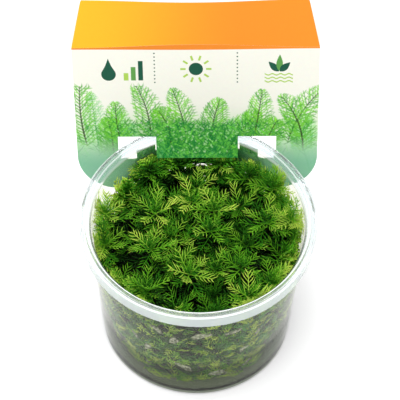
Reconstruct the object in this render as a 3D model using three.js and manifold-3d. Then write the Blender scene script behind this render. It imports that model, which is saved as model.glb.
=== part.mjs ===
// In-vitro cup of Myriophyllum mattogrossense: a clear cup, its nutrient gel,
// forty feathery shoots rooted in the gel, and a label card hooked on the rim.
// Millimetres, +Z up. The origin is the middle of the cup's flat underside,
// -Y is the front, and the card stands at the back, on +Y.

import * as THREE from 'three';
import { mergeVertices } from 'three/addons/utils/BufferGeometryUtils.js';
import Module from 'manifold-3d';

const wasm = await Module();
wasm.setup();

// Cup
const cupHeight = 75;
const rimRadius = 50;
const wallThickness = 0.8;
const floorThickness = 1.2;
const baseRadius = 42.4;
const wallTopRadius = 46;
const wallTopHeight = 72.3;
const baseChamfer = 1.4;
const skirtHeight = 6.3;
const skirtThickness = 0.9;
const flangeThickness = 1.4;
const grooveRadius = 48.1;
const grooveDepth = 0.7;
const grooveHalfWidth = 0.6;
const rimEdgeBreak = 0.5;
const cupSegments = 48;

// Gel
const fitGap = 0.3;
const gelTop = 24;
const gelSegments = 40;
const rootDepth = 9;

// Shoots
const shootCount = 40;
const ringShootCount = 16;
const innerShootCount = shootCount - ringShootCount;
const goldenAngle = THREE.MathUtils.degToRad(137.508);
const innerStemRadius = 30;
const ringStemRadius = 39;
const ringStart = THREE.MathUtils.degToRad(33);
const ringWobble = THREE.MathUtils.degToRad(1.5);
const gatherAtGel = 0.97;
const stemRadius = 0.8;
const stemSides = 5;
const budHeight = 2.6;
const canopyHeights = [70.6, 65.2, 59.8];
const underTabHeight = 65.4;
const underTabStart = 31;
const leafLength = 11.5;
const leafThickness = 0.7;
const leafHalfWidth = 3.9;
const leafWidestAt = 0.55;
const leafGap = 0.3;
const wallGap = 0.5;
const leafAscents = [22, 18, 13, 9];
const whorlSteps = [0, 4.6, 8.5, 12];
const innerWhorls = 2;
const ringWhorls = 4;
const lowestWhorl = gelTop + 3;

// Label card
const cardHalfWidth = 52.2;
const cardTop = 84;
const cardBottom = -23.4;
const cardThickness = 0.6;
const cardLean = THREE.MathUtils.degToRad(20);
const cardTwist = THREE.MathUtils.degToRad(1.8);
const cardCentre = new THREE.Vector3(-1.2, 40.8, cupHeight);
const crownStart = 44;
const crownRise = 56;
const crownCorner = 74;
const topHalfWidth = 26;
const footRadius = 16;
const tabHalfWidth = 17.7;
const tabBottom = -8.4;
const windowOuter = 34.3;
const windowTop = 2.6;
const slitWidth = 0.8;
const strapTop = -8.6;
const tongueTop = -4.4;
const tongueOuter = 26.5;
const strapThickness = 0.5;
const strapJoin = 1.5;
const strapClearance = 0.6;
const strapCutDepth = 40;

// Turns a closed geometry into a solid whose faces point out.
function solidFrom(geometry) {
  const bare = geometry.clone();
  bare.deleteAttribute('normal');
  bare.deleteAttribute('uv');
  const merged = mergeVertices(bare, 1e-4);
  const vertProperties = new Float32Array(merged.attributes.position.array);
  const corners = merged.index.array;
  const kept = [];
  for (let i = 0; i < corners.length; i += 3) {
    const [a, b, c] = [corners[i], corners[i + 1], corners[i + 2]];
    if (a !== b && b !== c && c !== a) kept.push(a, b, c);
  }
  const triVerts = new Uint32Array(kept);
  const solid = new wasm.Manifold(new wasm.Mesh({ numProp: 3, vertProperties, triVerts }));
  if (solid.volume() > 0) return solid;
  const flipped = triVerts.slice();
  for (let i = 0; i < flipped.length; i += 3) {
    [flipped[i], flipped[i + 1]] = [triVerts[i + 1], triVerts[i]];
  }
  return new wasm.Manifold(new wasm.Mesh({ numProp: 3, vertProperties, triVerts: flipped }));
}

function geometryFrom(solid) {
  const mesh = solid.getMesh();
  const geometry = new THREE.BufferGeometry();
  geometry.setAttribute('position', new THREE.BufferAttribute(mesh.vertProperties, 3));
  geometry.setIndex(new THREE.BufferAttribute(mesh.triVerts, 1));
  geometry.computeVertexNormals();
  return geometry;
}

// A body of revolution about Z from [radius, height] pairs.
function turned(profile, segments) {
  const points = profile.map(([radius, height]) => new THREE.Vector2(radius, height));
  return new THREE.LatheGeometry(points, segments).rotateX(Math.PI / 2);
}

function wallOuterRadius(height) {
  const taper = (wallTopRadius - baseRadius) / wallTopHeight;
  return baseRadius + taper * height;
}

function wallInnerRadius(height) {
  return wallOuterRadius(height) - wallThickness;
}

// The cup: flat floor, tapered wall, and a hollow flange with a groove on top,
// a raised lip inside it and a thin skirt hanging outside it.
function makeCup() {
  const skirtBottom = cupHeight - skirtHeight;
  const channelTop = cupHeight - flangeThickness;
  const channelOuter = rimRadius - skirtThickness;
  const floorCorner = floorThickness + baseChamfer;
  const profile = [
    [0, floorThickness],
    [wallInnerRadius(floorCorner) - baseChamfer, floorThickness],
    [wallInnerRadius(floorCorner), floorCorner],
    [wallInnerRadius(wallTopHeight), wallTopHeight],
    [grooveRadius - 2 * grooveHalfWidth, cupHeight],
    [grooveRadius - grooveHalfWidth, cupHeight],
    [grooveRadius, cupHeight - grooveDepth],
    [grooveRadius + grooveHalfWidth, cupHeight],
    [rimRadius - rimEdgeBreak, cupHeight],
    [rimRadius, cupHeight - rimEdgeBreak],
    [rimRadius, skirtBottom],
    [channelOuter, skirtBottom],
    [channelOuter, channelTop],
    [wallTopRadius + wallThickness, channelTop],
    [wallOuterRadius(channelTop - flangeThickness), channelTop - flangeThickness],
    [wallOuterRadius(baseChamfer), baseChamfer],
    [baseRadius - baseChamfer, 0],
    [0, 0],
  ];
  return solidFrom(turned(profile, cupSegments));
}

function standsInRing(index) {
  return index >= innerShootCount;
}

// Which way from the cup's middle a shoot stands: sunflower turns inside, then nearly
// even steps round the ring by the wall.
function stemTurn(index) {
  if (!standsInRing(index)) return index * goldenAngle;
  const place = index - innerShootCount;
  const wobble = ringWobble * Math.sin(place * goldenAngle);
  return ringStart + place * 2 * Math.PI / ringShootCount + wobble;
}

// Where a shoot's axis stands at a height; the shoots are gathered a little at the gel.
function stemPoint(index, height) {
  const settled = innerStemRadius * Math.sqrt((index + 0.5) / innerShootCount);
  const rise = (height - gelTop) / (canopyHeights[0] - gelTop);
  const spread = gatherAtGel + (1 - gatherAtGel) * rise;
  const radius = (standsInRing(index) ? ringStemRadius : settled) * spread;
  const turn = stemTurn(index);
  return new THREE.Vector2(radius * Math.cos(turn), radius * Math.sin(turn));
}

function canopyHeight(index) {
  const height = canopyHeights[index % canopyHeights.length];
  const stem = stemPoint(index, height);
  const underTab = stem.y > underTabStart && Math.abs(stem.x) < tabHalfWidth + leafHalfWidth;
  return underTab ? underTabHeight : height;
}

// True for a point that would touch the card's tab or the air just in front of it.
function meetsTab(point) {
  const beside = Math.abs(point.x - cardCentre.x) > tabHalfWidth + wallGap + 1;
  const up = (point.z - cardCentre.z) / Math.cos(cardLean);
  const tabFront = cardCentre.y + up * Math.sin(cardLean) - cardThickness;
  return !beside && up > tabBottom - 1 && point.y > tabFront - 1;
}

// The whorls of a shoot, top first: height, leaf ascent and turn.
function whorlsOf(index) {
  const count = standsInRing(index) ? ringWhorls : innerWhorls;
  const tipRise = leafLength * Math.sin(THREE.MathUtils.degToRad(leafAscents[0]));
  const whorls = [];
  let height = canopyHeight(index) - tipRise;
  for (let k = 0; k < count && height - whorlSteps[k] > lowestWhorl; k += 1) {
    height -= whorlSteps[k];
    const ascent = THREE.MathUtils.degToRad(leafAscents[k]);
    const turn = stemTurn(index) + (k % 2) * Math.PI / stemSides;
    whorls.push({ height, ascent, turn });
  }
  return whorls;
}

// True where a point of a leaf keeps inside its own shoot's room: this side of the
// halfway plane to each neighbour that is as tall, inside the wall, clear of the tab.
function hasRoom(index, point, whorlHeight) {
  const wall = wallInnerRadius(point.z) - wallGap;
  if (Math.hypot(point.x, point.y) > wall || meetsTab(point)) return false;
  const own = stemPoint(index, point.z);
  for (let other = 0; other < shootCount; other += 1) {
    if (other === index) continue;
    if (canopyHeight(other) + leafGap < whorlHeight - leafThickness) continue;
    const away = stemPoint(other, point.z).sub(own);
    const reach = (point.x - own.x) * away.x + (point.y - own.y) * away.y;
    if (reach / away.length() > away.length() / 2 - leafGap) return false;
  }
  return true;
}

// The widest point on each side and the tip of one leaf at a given length.
function leafPoints(index, whorl, direction, length) {
  const foot = stemPoint(index, whorl.height);
  const at = (along, aside) => {
    const flat = along * Math.cos(whorl.ascent);
    const x = foot.x + flat * Math.cos(direction) - aside * Math.sin(direction);
    const y = foot.y + flat * Math.sin(direction) + aside * Math.cos(direction);
    return new THREE.Vector3(x, y, whorl.height + along * Math.sin(whorl.ascent));
  };
  const widest = length * leafWidestAt;
  const halfWidth = leafHalfWidth * length / leafLength;
  return [at(widest, -halfWidth), at(length, 0), at(widest, halfWidth)];
}

function fittedLeaf(index, whorl, direction) {
  const shortest = 3 * stemRadius;
  for (let length = leafLength; length > shortest; length -= 0.25) {
    const points = leafPoints(index, whorl, direction, length);
    if (points.every((point) => hasRoom(index, point, whorl.height))) return points;
  }
  return leafPoints(index, whorl, direction, shortest);
}

function ringAround(index, height, turn) {
  const centre = stemPoint(index, height);
  const ring = [];
  for (let side = 0; side < stemSides; side += 1) {
    const angle = turn + (side - 0.5) * 2 * Math.PI / stemSides;
    const x = centre.x + stemRadius * Math.cos(angle);
    const y = centre.y + stemRadius * Math.sin(angle);
    ring.push(new THREE.Vector3(x, y, height));
  }
  return ring;
}

// One shoot: a five-sided stem with a leaf growing out of each side at each whorl.
function makeShoot(index) {
  const corners = [];
  const face = (a, b, c) => corners.push(a, b, c);
  const band = (lower, upper) => {
    for (let side = 0; side < stemSides; side += 1) {
      const next = (side + 1) % stemSides;
      face(lower[side], lower[next], upper[next]);
      face(lower[side], upper[next], upper[side]);
    }
  };
  const whorls = whorlsOf(index).reverse();
  const rootHeight = gelTop - rootDepth + fitGap;
  const foot = ringAround(index, rootHeight, whorls[0].turn);
  const footCentre = stemPoint(index, rootHeight);
  const footPoint = new THREE.Vector3(footCentre.x, footCentre.y, rootHeight);
  for (let side = 0; side < stemSides; side += 1) {
    face(foot[(side + 1) % stemSides], foot[side], footPoint);
  }
  let below = foot;
  for (const whorl of whorls) {
    const lower = ringAround(index, whorl.height - leafThickness / 2, whorl.turn);
    const upper = ringAround(index, whorl.height + leafThickness / 2, whorl.turn);
    band(below, lower);
    for (let side = 0; side < stemSides; side += 1) {
      const next = (side + 1) % stemSides;
      const direction = whorl.turn + side * 2 * Math.PI / stemSides;
      const [right, tip, left] = fittedLeaf(index, whorl, direction);
      face(lower[side], lower[next], tip);
      face(lower[side], tip, right);
      face(lower[next], left, tip);
      face(upper[side], tip, upper[next]);
      face(upper[side], right, tip);
      face(upper[next], tip, left);
      face(lower[side], right, upper[side]);
      face(lower[next], upper[next], left);
    }
    below = upper;
  }
  const top = whorls[whorls.length - 1].height + budHeight;
  const bud = stemPoint(index, top);
  const budPoint = new THREE.Vector3(bud.x, bud.y, top);
  for (let side = 0; side < stemSides; side += 1) {
    face(below[side], below[(side + 1) % stemSides], budPoint);
  }
  return solidFrom(new THREE.BufferGeometry().setFromPoints(corners));
}

// Moves each point of a geometry sideways, along the leaning axis of a shoot.
function leaned(geometry, index) {
  const position = geometry.attributes.position;
  for (let i = 0; i < position.count; i += 1) {
    const axis = stemPoint(index, position.getZ(i));
    position.setX(i, position.getX(i) + axis.x);
    position.setY(i, position.getY(i) + axis.y);
  }
  return geometry;
}

// The gel: a disc that fills the bottom of the cup, with a hole for each stem.
function makeGel() {
  const bottom = floorThickness + fitGap;
  const corner = bottom + baseChamfer;
  const profile = [
    [0, bottom],
    [wallInnerRadius(corner) - baseChamfer - fitGap, bottom],
    [wallInnerRadius(corner) - fitGap, corner],
    [wallInnerRadius(gelTop) - fitGap, gelTop],
    [0, gelTop],
  ];
  let gel = solidFrom(turned(profile, gelSegments));
  const holeRadius = (stemRadius + fitGap) / Math.cos(Math.PI / stemSides);
  const holeLength = rootDepth + fitGap;
  for (let index = 0; index < shootCount; index += 1) {
    const hole = new THREE.CylinderGeometry(holeRadius, holeRadius, holeLength, stemSides);
    hole.rotateX(Math.PI / 2);
    hole.translate(0, 0, gelTop + fitGap - holeLength / 2);
    gel = gel.subtract(solidFrom(leaned(hole, index)));
  }
  return gel;
}

// Card plane: u runs across to the right, v runs up the leaning face from the rim.
function cardPoint(u, v, depth = 0) {
  const across = u * Math.cos(cardTwist) - v * Math.sin(cardTwist);
  const up = u * Math.sin(cardTwist) + v * Math.cos(cardTwist);
  const y = cardCentre.y + up * Math.sin(cardLean) + depth * Math.cos(cardLean);
  const z = cardCentre.z + up * Math.cos(cardLean) - depth * Math.sin(cardLean);
  return new THREE.Vector3(cardCentre.x + across, y, z);
}

function ontoCard(geometry, thickness) {
  const position = geometry.attributes.position;
  for (let i = 0; i < position.count; i += 1) {
    const depth = position.getZ(i) - thickness / 2;
    const point = cardPoint(position.getX(i), position.getY(i), depth);
    position.setXYZ(i, point.x, point.y, point.z);
  }
  return geometry;
}

// As ontoCard, but with the thickness laid level, from front to back.
function levelThroughCard(geometry, thickness) {
  const position = geometry.attributes.position;
  for (let i = 0; i < position.count; i += 1) {
    const point = cardPoint(position.getX(i), position.getY(i));
    position.setXYZ(i, point.x, point.y + position.getZ(i) - thickness / 2, point.z);
  }
  return geometry;
}

// The flat part of the card: arched crown, round lower corners, two rim windows
// and the tab between them that goes inside the cup.
function cardFace() {
  const foot = cardBottom + footRadius;
  const footAside = cardHalfWidth - footRadius;
  const crownEnd = Math.asin((crownCorner - crownStart) / crownRise);
  const crownAside = cardHalfWidth * Math.cos(crownEnd);
  const sideSlope = cardHalfWidth * Math.tan(crownEnd) / crownRise;
  const cornerAside = crownAside - (cardTop - crownCorner) * sideSlope;
  const shape = new THREE.Shape();
  shape.moveTo(-windowOuter, cardBottom);
  shape.lineTo(-windowOuter, windowTop);
  shape.lineTo(-tabHalfWidth, windowTop);
  shape.lineTo(-tabHalfWidth, tabBottom);
  shape.lineTo(tabHalfWidth, tabBottom);
  shape.lineTo(tabHalfWidth, windowTop);
  shape.lineTo(windowOuter, windowTop);
  shape.lineTo(windowOuter, cardBottom);
  shape.absarc(footAside, foot, footRadius, -Math.PI / 2, 0, false);
  shape.absellipse(0, crownStart, cardHalfWidth, crownRise, 0, crownEnd, false);
  shape.quadraticCurveTo(cornerAside, cardTop, topHalfWidth, cardTop);
  shape.lineTo(-topHalfWidth, cardTop);
  shape.quadraticCurveTo(-cornerAside, cardTop, -crownAside, crownCorner);
  shape.absellipse(0, crownStart, cardHalfWidth, crownRise, Math.PI - crownEnd, Math.PI, false);
  shape.absarc(-footAside, foot, footRadius, Math.PI, 1.5 * Math.PI, false);
  const options = { depth: cardThickness, bevelEnabled: false, curveSegments: 8 };
  return ontoCard(new THREE.ExtrudeGeometry(shape, options), cardThickness);
}

// The strap below the windows goes round the outside of the cup: each point is
// pushed back off the leaning plane where the wall would be in its way.
function strapPoint(u, v, side) {
  const point = cardPoint(u, v, side * strapThickness / 2);
  const room = wallOuterRadius(point.z) + strapClearance + (side + 1) * strapThickness / 2;
  const behindWall = Math.abs(point.x) < room ? Math.sqrt(room ** 2 - point.x ** 2) : 0;
  point.y = Math.max(point.y, behindWall);
  return point;
}

// A bent sheet between two surfaces of points, given as columns of equal length.
function bentSheet(front, back) {
  const corners = [];
  const quad = (a, b, c, d) => corners.push(a, b, c, a, c, d);
  const last = front.length - 1;
  const top = front[0].length - 1;
  for (let i = 0; i < last; i += 1) {
    for (let row = 0; row < top; row += 1) {
      quad(front[i][row], front[i + 1][row], front[i + 1][row + 1], front[i][row + 1]);
      quad(back[i][row], back[i][row + 1], back[i + 1][row + 1], back[i + 1][row]);
    }
    quad(front[i][0], back[i][0], back[i + 1][0], front[i + 1][0]);
    quad(front[i][top], front[i + 1][top], back[i + 1][top], back[i][top]);
  }
  for (let row = 0; row < top; row += 1) {
    quad(front[0][row], front[0][row + 1], back[0][row + 1], back[0][row]);
    quad(front[last][row], back[last][row], back[last][row + 1], front[last][row + 1]);
  }
  return solidFrom(new THREE.BufferGeometry().setFromPoints(corners));
}

// A level block through the card, from one corner of its face to another.
function cardBlock(fromU, fromV, toU, toV) {
  const shape = new THREE.Shape();
  shape.moveTo(fromU, fromV);
  shape.lineTo(toU, fromV);
  shape.lineTo(toU, toV);
  shape.lineTo(fromU, toV);
  const options = { depth: strapCutDepth, bevelEnabled: false };
  const block = new THREE.ExtrudeGeometry(shape, options);
  return solidFrom(levelThroughCard(block, strapCutDepth));
}

// The strap and its two tongues, which stand up into the hollow of the flange.
function makeStrap() {
  const reach = windowOuter + strapJoin;
  const slit = tabHalfWidth + slitWidth;
  const half = [-reach, -30, -tongueOuter, -22.5, -slit, -14, -9, -4.5];
  const across = [...half, 0, ...half.map((u) => -u).reverse()];
  const levels = [cardBottom, -18.5, -13.5, strapTop, tongueTop];
  const surface = (side) => across.map((u) => levels.map((v) => strapPoint(u, v, side)));
  const above = tongueTop + strapJoin;
  return bentSheet(surface(-1), surface(1))
    .subtract(cardBlock(-slit, strapTop, slit, above))
    .subtract(cardBlock(tongueOuter, strapTop, reach + strapJoin, above))
    .subtract(cardBlock(-reach - strapJoin, strapTop, -tongueOuter, above));
}

function makeCard() {
  return solidFrom(cardFace()).add(makeStrap());
}

function addPiece(group, name, solid, color, roughness) {
  const material = new THREE.MeshStandardMaterial({ color, roughness, metalness: 0 });
  const mesh = new THREE.Mesh(geometryFrom(solid), material);
  mesh.name = name;
  group.add(mesh);
}

const plantInCup = new THREE.Group();
addPiece(plantInCup, 'cup', makeCup(), 0xe9efee, 0.15);
addPiece(plantInCup, 'nutrient_gel', makeGel(), 0x59605a, 0.35);
addPiece(plantInCup, 'label_card', makeCard(), 0xf7f6ec, 0.55);
for (let index = 0; index < shootCount; index += 1) {
  const name = `shoot_${String(index + 1).padStart(2, '0')}`;
  addPiece(plantInCup, name, makeShoot(index), 0x4f9427, 0.6);
}

export default plantInCup;
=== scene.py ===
"""Looks of the in-vitro cup of Myriophyllum mattogrossense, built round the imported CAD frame.

Sizes are in millimetres, as in the part's source, and turn into metres where a mesh is made.
The origin is the middle of the cup's underside, -Y is the front and +Z is up.
"""

import math

import bpy
import numpy as np
from mathutils import Matrix, Vector
from mathutils.geometry import delaunay_2d_cdt


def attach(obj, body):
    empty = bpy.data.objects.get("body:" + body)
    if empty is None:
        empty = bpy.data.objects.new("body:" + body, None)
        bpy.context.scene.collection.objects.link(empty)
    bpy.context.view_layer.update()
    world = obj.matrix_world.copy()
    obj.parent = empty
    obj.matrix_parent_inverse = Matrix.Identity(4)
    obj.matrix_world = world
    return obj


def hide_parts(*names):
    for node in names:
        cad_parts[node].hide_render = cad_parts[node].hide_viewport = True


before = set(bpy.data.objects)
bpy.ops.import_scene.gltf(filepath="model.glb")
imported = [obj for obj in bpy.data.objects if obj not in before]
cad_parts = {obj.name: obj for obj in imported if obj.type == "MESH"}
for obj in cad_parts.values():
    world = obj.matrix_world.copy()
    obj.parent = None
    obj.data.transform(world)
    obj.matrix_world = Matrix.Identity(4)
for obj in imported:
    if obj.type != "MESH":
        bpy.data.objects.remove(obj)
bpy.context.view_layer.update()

MM = 0.001

# Camera, fitted to the rim, base and card in the photograph
IMAGE_SIZE = 400
FOCAL_PX = 1668.2
SENSOR_WIDTH = 36.0
CAMERA_DISTANCE = 0.700
CAMERA_ELEVATION = math.radians(54.5)
CAMERA_ROLL = math.radians(1.24)
RIM_CENTRE_RIGHT_PX = -1.83
RIM_CENTRE_DOWN_PX = 17.75

# Stage; the softbox is in metres and watts
FLOOR_HALF_SIZE = 3000.0
FLOOR_LEVEL = -0.05
FLOOR_GLOW = 0.26
WORLD_STRENGTH = 0.82
SOFTBOX_PLACE = (-0.15, -0.1, 0.95)
SOFTBOX_AIM = (0.0, 0.0, 0.06)
SOFTBOX_SIZE = 0.7
SOFTBOX_POWER = 5.0

# Cup
CUP_HEIGHT = 75.0
RIM_RADIUS = 50.0
WALL_THICKNESS = 0.8
FLOOR_THICKNESS = 1.2
BASE_RADIUS = 42.4
WALL_TOP_RADIUS = 46.0
WALL_TOP_HEIGHT = 72.3
BASE_CHAMFER = 1.4
SKIRT_HEIGHT = 6.3
SKIRT_THICKNESS = 0.9
FLANGE_THICKNESS = 1.4
GROOVE_RADIUS = 48.1
GROOVE_DEPTH = 0.7
GROOVE_HALF_WIDTH = 0.6
LIP_RADIUS = GROOVE_RADIUS - 2 * GROOVE_HALF_WIDTH
LIP_START = 0.82
RIM_EDGE_BREAK = 0.5
TURNING_STEPS = 192
CORNER_STEPS = 4
BASE_EDGE_HEIGHT = 2.0
BASE_EDGE_REACH = 1.0
NEAR_EDGE = 0.2
MILK_CHANGE = (-30.0, 5.0)
WALL_MILK = 0.01
FLANGE_MILK = 0.05
GROOVE_MILK = 0.2
# Painted light on the rim: the skirt is milkier at the front, painting the white floor's reflection, and
# the lines below are painted white highlights, brighter at the front along the rim's edges and shown only
# behind at the wall's top
SKIRT_MILK_AND_PAINTED_REFLECTION = 0.42
SKIRT_MILK_BEHIND = 0.17
RIM_LINE_PAINTED_HIGHLIGHT = 0.92
RIM_LINE_PAINTED_HIGHLIGHT_BEHIND = 0.55
WALL_TOP_PAINTED_HIGHLIGHT = 0.4
LINE_WIDTH = 0.45
WALL_IOR = 1.14
WALL_TINT = (0.96, 0.965, 0.87)
RIM_TINT = (0.93, 0.99, 1.0)
RIM_IOR = 1.2
WALL_WAVINESS = 0.04
RIM_WAVINESS = 0.008
PLASTIC_GLEAM = (0.31, 0.32, 0.17, 1.0)
# Painted shade on the cup's base edge, where the thick corner shows the dark gel bent into view
BASE_EDGE_PAINTED_SHADE = (0.30, 0.36, 0.27)

# Gel
GEL_GAP = 0.15
GEL_TOP = 24.0
GEL_RINGS = 26
GEL_SURFACE = GEL_TOP - 0.9
GEL_SWELL = 0.45
GEL_RIPPLE = 0.3
GEL_CALM_EDGE = 4.0
GEL_ABSORPTION = (0.50, 0.61, 0.40, 1.0)
GEL_DENSITY = 150.0

LUMP_SEED = 5
LUMP_SIDES = 20
# Each ring's distance from the wall and its share of the lump's size
LUMP_RINGS = ((0.0, 0.72), (0.1, 0.96), (0.5, 1.0), (0.9, 0.72), (1.1, 0.3))
# Each lump's turn from the front in degrees, height, length, width and tilt in degrees
GEL_LUMPS = (
    (-28.2, 33.4, 5.2, 3.0, 70),
    (-21.7, 51.6, 6.5, 2.4, -35),
    (-12.2, 46.1, 5.6, 3.8, 80),
    (-29.9, 9.5, 2.8, 1.3, -30),
    (-29.0, 20.0, 4.0, 0.8, -60),
    (-6.2, 23.8, 9.5, 2.8, -38),
    (3.0, 51.8, 9.5, 3.4, 18),
    (21.7, 51.1, 7.0, 2.0, 8),
    (28.5, 33.0, 4.6, 2.6, 30),
    (32.0, 19.5, 6.0, 1.8, 38),
    (13.7, 17.7, 8.0, 4.6, -12),
    (37.0, 42.5, 3.6, 2.0, 70),
    (-36.0, 38.0, 4.6, 1.6, -50),
)

# Shoots
SHOOT_COUNT = 40
RING_SHOOT_COUNT = 16
INNER_SHOOT_COUNT = SHOOT_COUNT - RING_SHOOT_COUNT
GOLDEN_ANGLE = math.radians(137.508)
INNER_STEM_RADIUS = 30.0
RING_STEM_RADIUS = 39.0
RING_START = math.radians(33)
RING_WOBBLE = math.radians(1.5)
GATHER_AT_GEL = 0.97
ROOT_DEPTH = 8.7
STEM_RADIUS = 0.75
STEM_SIDES = 7
THREAD_SIDES = 3
THREAD_FLATNESS = 0.75
CANOPY_HEIGHTS = (70.6, 65.2, 59.8)
UNDER_TAB_HEIGHT = 65.4
UNDER_TAB_START = 31.0
LOWER_AT_TAB = 0.8
TAB_GAP = 0.4
LEAF_LENGTH = 11.5
LEAF_HALF_WIDTH = 3.9
RACHIS_WIDTHS = (0.6, 0.34)
PINNAE_START = 0.2
PINNAE_SPAN = 0.72
PINNA_REACH = 5.2
PINNA_SPLAYS = (58, 36)
LEAF_SEED = 77
SHOOT_SEED = 4100
# Leaf kinds: how many, fewest and most pairs of pinnae, and the pinnae's widths from foot to tip
FINE_LEAVES = (12, 4, 6, (0.46, 0.5, 0.12))
COARSE_LEAVES = (6, 4, 4, (1.0, 1.25, 0.4))
LOWEST_WHORL = GEL_TOP + 3.0
LEAVES_PER_WHORL = 5
# Whorls under a growing tip: depth below it, ascent in degrees, share of a leaf's length and tone
TIP_WHORLS = ((2.6, 66, 0.28, 0.45), (3.3, 46, 0.54, 0.6), (4.4, 25, 0.98, 0.9))
LOWER_ASCENT = 13
# Tone of the first lower whorl; each whorl further down is darker by a step: painted shade in the canopy
# over the older leaves' darker green
LOWER_TONE = 0.6
WHORL_STEP = 2.9
CLOSEST_WHORLS = 2.3
STEM_TONE = 0.34
TIP_LIGHTER = 0.26
DOWNWARD_SHARE = 0.35
BACK_STARTS = 0.35
WALL_LEAF_TURNS = (-1.45, -0.75, 0.0, 0.75, 1.45)
WALL_CLEARANCE = 0.4
HIGHEST_PRESSED = 74.0
DOWNWARD_BELOW = 56.0
SUNK_LOWEST = 9.0
SUNK_LEAVES_TURN = math.radians(42)
SWAY = 1.4
FINE_ROWS = 6
# Ring shoots, lit through the wall, take less painted shade: their lower whorls get no darker than this
RING_DEEP_TONE = 0.15
WALL_LEAF_STEP = 3.3
BACK_LEAF_STEP = 2.4
# Leaves pressed on the wall are set lighter: painted light coming through the wall
WALL_LEAF_TONE = 0.55
BACK_FILL_BELOW = 62.0
WALL_LEAVES_BELOW_TOP = 2.5
# Painted light on the leaves: lighter close to the wall and towards the left and right sides, and every
# leaf a little darker by MIDDLE_TONE
NEAR_WALL_PAINTED_LIGHT = 0.34
SIDE_PAINTED_LIGHT = 0.24
MIDDLE_TONE = 0.04
TONE_PATCHES = 0.15

# Label card
CARD_HALF_WIDTH = 52.2
CARD_TOP = 84.0
CARD_BOTTOM = -23.4
CARD_THICKNESS = 0.56
CARD_LEAN = math.radians(20)
CARD_TWIST = math.radians(1.8)
CARD_CENTRE = (-1.2, 40.8, CUP_HEIGHT)
HEADER_BOTTOM = 47.0
HEADER_TOP = 68.0
STRIPE_BOTTOM = 45.4
CROWN_START = 44.0
CROWN_RISE = 56.0
CROWN_CORNER = 74.0
TOP_HALF_WIDTH = 26.0
FOOT_RADIUS = 16.0
TAB_HALF_WIDTH = 17.7
TAB_BOTTOM = -8.4
WINDOW_OUTER = 34.3
WINDOW_TOP = 2.6
SLIT_WIDTH = 0.8
STRAP_TOP = -8.6
TONGUE_TOP = -4.4
TONGUE_OUTER = 26.5
STRAP_CLEARANCE = 0.6
STRAP_BLEND = 1.4
DROP_CENTRE = (-37.0, 33.6)
BARS_CORNER = (-30.6, 30.6)
SUN_CENTRE = (0.0, 36.0)
WATER_LEVEL = 29.8
DIVIDER_ASIDE = 17.5
PRINT_TOP = 28.0
EDGE_SPACING = 1.3
PLAIN_SPACING = 2.4
PRINT_SPACING = 0.34
PRINT_SEED = 915
BACK_FRONDS = 15
FRONT_FRONDS = 12
NEEDLES = 1500
FLECKS = 120
STROKE_SOFTNESS = 0.22
HEADER_YELLOW = "f8bb26"
HEADER_ORANGE = "f99228"
HEADER_STRIPE = "e8862a"
CARD_WHITE = "fdfdfb"
CARD_CREAM = "f0efe4"
SIGN_DARK = "17543f"
SIGN_MID = "5d9a4a"
SIGN_LIME = "a9cc58"
PRINT_PALE = "cfe8c0"
PRINT_TEAL = "7cbc9c"
PRINT_DEEP = "0a9440"
FROND_TONES = ("2f4220", "1f8a2c", "8ee23c")
BACK_FROND_TONES = ("3fae62", "98e27a")
NEEDLE_TONES = ("057a34", "7fe850")
FLECK_TONE = "c4f5b4"


def mix(a, b, t):
    return a + (b - a) * t


def smoothstep(low, high, x):
    t = np.clip((x - low) / (high - low), 0.0, 1.0)
    return t * t * (3.0 - 2.0 * t)


def srgb(code):
    """Linear colour of a six-digit hex code."""
    parts = np.array([int(code[i:i + 2], 16) for i in (0, 2, 4)]) / 255
    return np.where(parts <= 0.04045, parts / 12.92, ((parts + 0.055) / 1.055) ** 2.4)


def unit(vectors):
    return vectors / np.linalg.norm(vectors, axis=-1, keepdims=True)


def heading(angle):
    """The level unit vector at an angle."""
    return np.array([math.cos(angle), math.sin(angle)])


def build_object(name, vertices, triangles, material):
    """A mesh object from vertices in millimetres and triangles, both arrays."""
    vertices = np.asarray(vertices, np.float64) * MM
    triangles = np.asarray(triangles, np.int32)
    mesh = bpy.data.meshes.new(name)
    mesh.vertices.add(len(vertices))
    mesh.vertices.foreach_set("co", vertices.astype(np.float32).ravel())
    mesh.loops.add(triangles.size)
    mesh.loops.foreach_set("vertex_index", triangles.ravel())
    mesh.polygons.add(len(triangles))
    mesh.polygons.foreach_set("loop_start", np.arange(0, triangles.size, 3, dtype=np.int32))
    mesh.update(calc_edges=True)
    mesh.polygons.foreach_set("use_smooth", np.full(len(triangles), True))
    mesh.materials.append(material)
    piece = bpy.data.objects.new(name, mesh)
    bpy.context.scene.collection.objects.link(piece)
    return piece


def add_point_value(piece, name, values):
    layer = piece.data.attributes.new(name, "FLOAT", "POINT")
    layer.data.foreach_set("value", np.asarray(values, np.float32))


def dress(piece, slot, *nodes):
    """Rides on the one body and stands for CAD nodes, whose parts it hides; its slot is not used."""
    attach(piece, "root")
    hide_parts(*nodes)


# Materials

def new_material(name):
    material = bpy.data.materials.new(name)
    material.use_nodes = True
    tree = material.node_tree
    return material, tree, tree.nodes["Principled BSDF"]


def add_node(tree, kind, **inputs):
    node = tree.nodes.new(kind)
    set_inputs(node, **inputs)
    return node


def set_inputs(node, **inputs):
    """Constants straight on a node's sockets, whose names have _ for each space here."""
    for key, value in inputs.items():
        node.inputs[key.replace("_", " ")].default_value = value


def point_value(tree, name):
    """The value that each point of the piece carries under a name."""
    attribute = tree.nodes.new("ShaderNodeAttribute")
    attribute.attribute_name = name
    return attribute.outputs["Fac"]


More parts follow.
